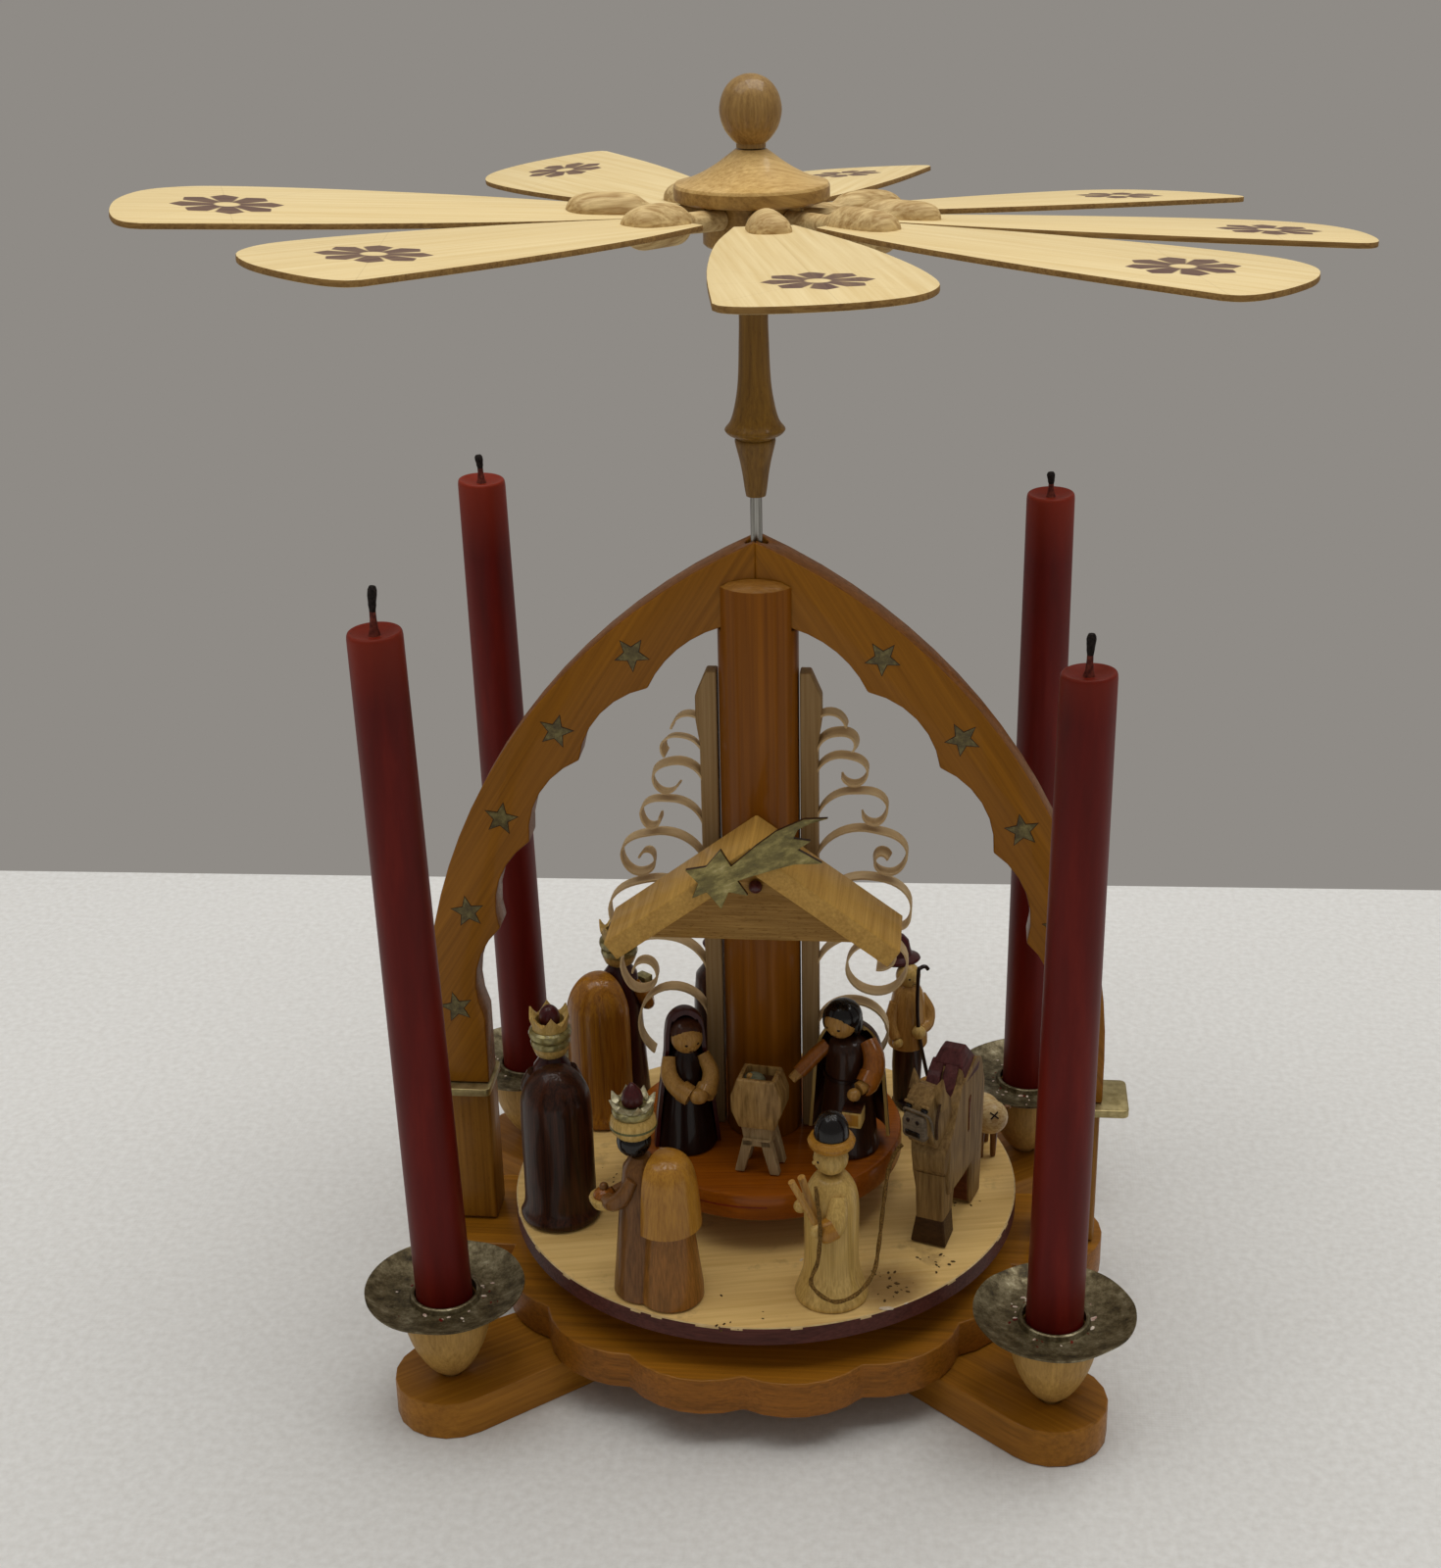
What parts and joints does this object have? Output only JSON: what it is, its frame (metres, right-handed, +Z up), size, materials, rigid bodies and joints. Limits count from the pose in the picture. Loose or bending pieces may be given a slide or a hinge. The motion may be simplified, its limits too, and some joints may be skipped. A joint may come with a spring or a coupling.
{
  "type": "christmas pyramid",
  "caption": "Table pyramid turned by candle heat: arch and crossed base carry a stage with a stable; a bladed wheel on a steel rod turns the figures round it.",
  "frame": {"origin": "centre of the crossed base, on the surface the arms stand on", "axes": "+Z up along the wheel's rod, -Y to the front with the crib and gable, +X to the right as seen from the front"},
  "size_m": [0.2852, 0.2975, 0.3376],
  "materials": {
    "beech": "turned or planed beech, satin",
    "brass": "old pressed sheet with a dull patina",
    "brown_stain": "brown stained, satin",
    "dark_stain": "dark brown stained, satin",
    "gold_green": "thin veneer, gold-green bronzed",
    "grey_wood": "grey-brown sawn wood, matt",
    "honey_wood": "honey-brown stained and lacquered, satin",
    "larch": "straight-grained softwood, satin",
    "ochre_stain": "ochre stained, glossy",
    "orange_wood": "orange-brown stained, satin",
    "pale_birch": "bare fine-grained birch, matt",
    "pale_figure": "pale turned wood, lacquered",
    "plum_stain": "plum-brown stained, satin",
    "red_wax": "dyed wax, smooth and slightly glossy",
    "shaving": "bare shaved wood, matt",
    "steel": "drawn rod, bright",
    "twine": "thin two-strand twine, matt"
  },
  "bodies": {
    "stand": {"arch_left": "honey_wood", "arch_right": "honey_wood", "arm_board_lower": "honey_wood", "arm_board_upper": "honey_wood", "candle_back_left": "red_wax", "candle_back_right": "red_wax", "candle_cup_back_left": "beech", "candle_cup_back_right": "beech", "candle_cup_front_left": "beech", "candle_cup_front_right": "beech", "candle_front_left": "red_wax", "candle_front_right": "red_wax", "capping_plate_left": "brass", "capping_plate_right": "brass", "column": "larch", "comet_star": "gold_green", "crib": "pale_figure", "curl_strip_left": "shaving", "curl_strip_right": "shaving", "drip_pan_back_left": "brass", "drip_pan_back_right": "brass", "drip_pan_front_left": "brass", "drip_pan_front_right": "brass", "gable_board": "beech", "gable_peg": "plum_stain", "inner_platform": "orange_wood", "joseph": "dark_stain", "lantern": "pale_figure", "mary": "plum_stain", "post_left": "beech", "post_right": "beech", "roof_board_left": "beech", "roof_board_right": "beech", "scalloped_plate": "honey_wood", "thrust_bearing": "brass"},
    "rotor": {"rotor_rod": "steel", "wheel_spindle": "beech", "wheel_hub": "beech", "ball_finial": "beech", "turntable": "pale_birch", "king_left": "plum_stain", "king_left_cape": "dark_stain", "king_back": "plum_stain", "king_back_cape": "ochre_stain", "moor_king": "brown_stain", "moor_king_cape": "pale_figure", "servant": "dark_stain", "camel_leader": "pale_figure", "camel": "grey_wood", "shepherd": "brown_stain", "sheep": "pale_figure", "lead_rope": "twine"},
    "blade_back_left_body": {"blade_back_left": "pale_birch"},
    "blade_back_right_body": {"blade_back_right": "pale_birch"},
    "blade_front_body": {"blade_front": "pale_birch"},
    "blade_left_back_body": {"blade_left_back": "pale_birch"},
    "blade_left_front_body": {"blade_left_front": "pale_birch"},
    "blade_right_body": {"blade_right": "pale_birch"},
    "blade_right_back_body": {"blade_right_back": "pale_birch"},
    "blade_right_front_body": {"blade_right_front": "pale_birch"}
  },
  "joints": [
    {"name": "rotor_spin", "type": "hinge", "parent": "stand", "child": "rotor", "pos_m": [0, 0, 0], "axis": [0, 0, 1], "continuous": true},
    {"name": "pitch_back_left", "type": "hinge", "parent": "rotor", "child": "blade_back_left_body", "pos_m": [0, 0, 0.3049], "axis": [-0.5148, 0.8567, -0.0313], "range_deg": [-90, 90]},
    {"name": "pitch_back_right", "type": "hinge", "parent": "rotor", "child": "blade_back_right_body", "pos_m": [0, 0, 0.3049], "axis": [0.1303, 0.9897, -0.0596], "range_deg": [-90, 90]},
    {"name": "pitch_front", "type": "hinge", "parent": "rotor", "child": "blade_front_body", "pos_m": [0, 0, 0.3049], "axis": [0.1906, -0.9805, 0.0487], "range_deg": [-90, 90]},
    {"name": "pitch_left_back", "type": "hinge", "parent": "rotor", "child": "blade_left_back_body", "pos_m": [0, 0, 0.3049], "axis": [-0.9312, -0.3575, 0.0711], "range_deg": [-90, 90]},
    {"name": "pitch_left_front", "type": "hinge", "parent": "rotor", "child": "blade_left_front_body", "pos_m": [0, 0, 0.3049], "axis": [-0.5377, -0.8407, 0.0645], "range_deg": [-90, 90]},
    {"name": "pitch_right", "type": "hinge", "parent": "rotor", "child": "blade_right_body", "pos_m": [0, 0, 0.3049], "axis": [0.9993, 0.0174, -0.0333], "range_deg": [-90, 90]},
    {"name": "pitch_right_back", "type": "hinge", "parent": "rotor", "child": "blade_right_back_body", "pos_m": [0, 0, 0.3049], "axis": [0.7533, 0.6548, -0.061], "range_deg": [-90, 90]},
    {"name": "pitch_right_front", "type": "hinge", "parent": "rotor", "child": "blade_right_front_body", "pos_m": [0, 0, 0.3049], "axis": [0.7771, -0.6293, 0.0101], "range_deg": [-90, 90]}
  ]
}
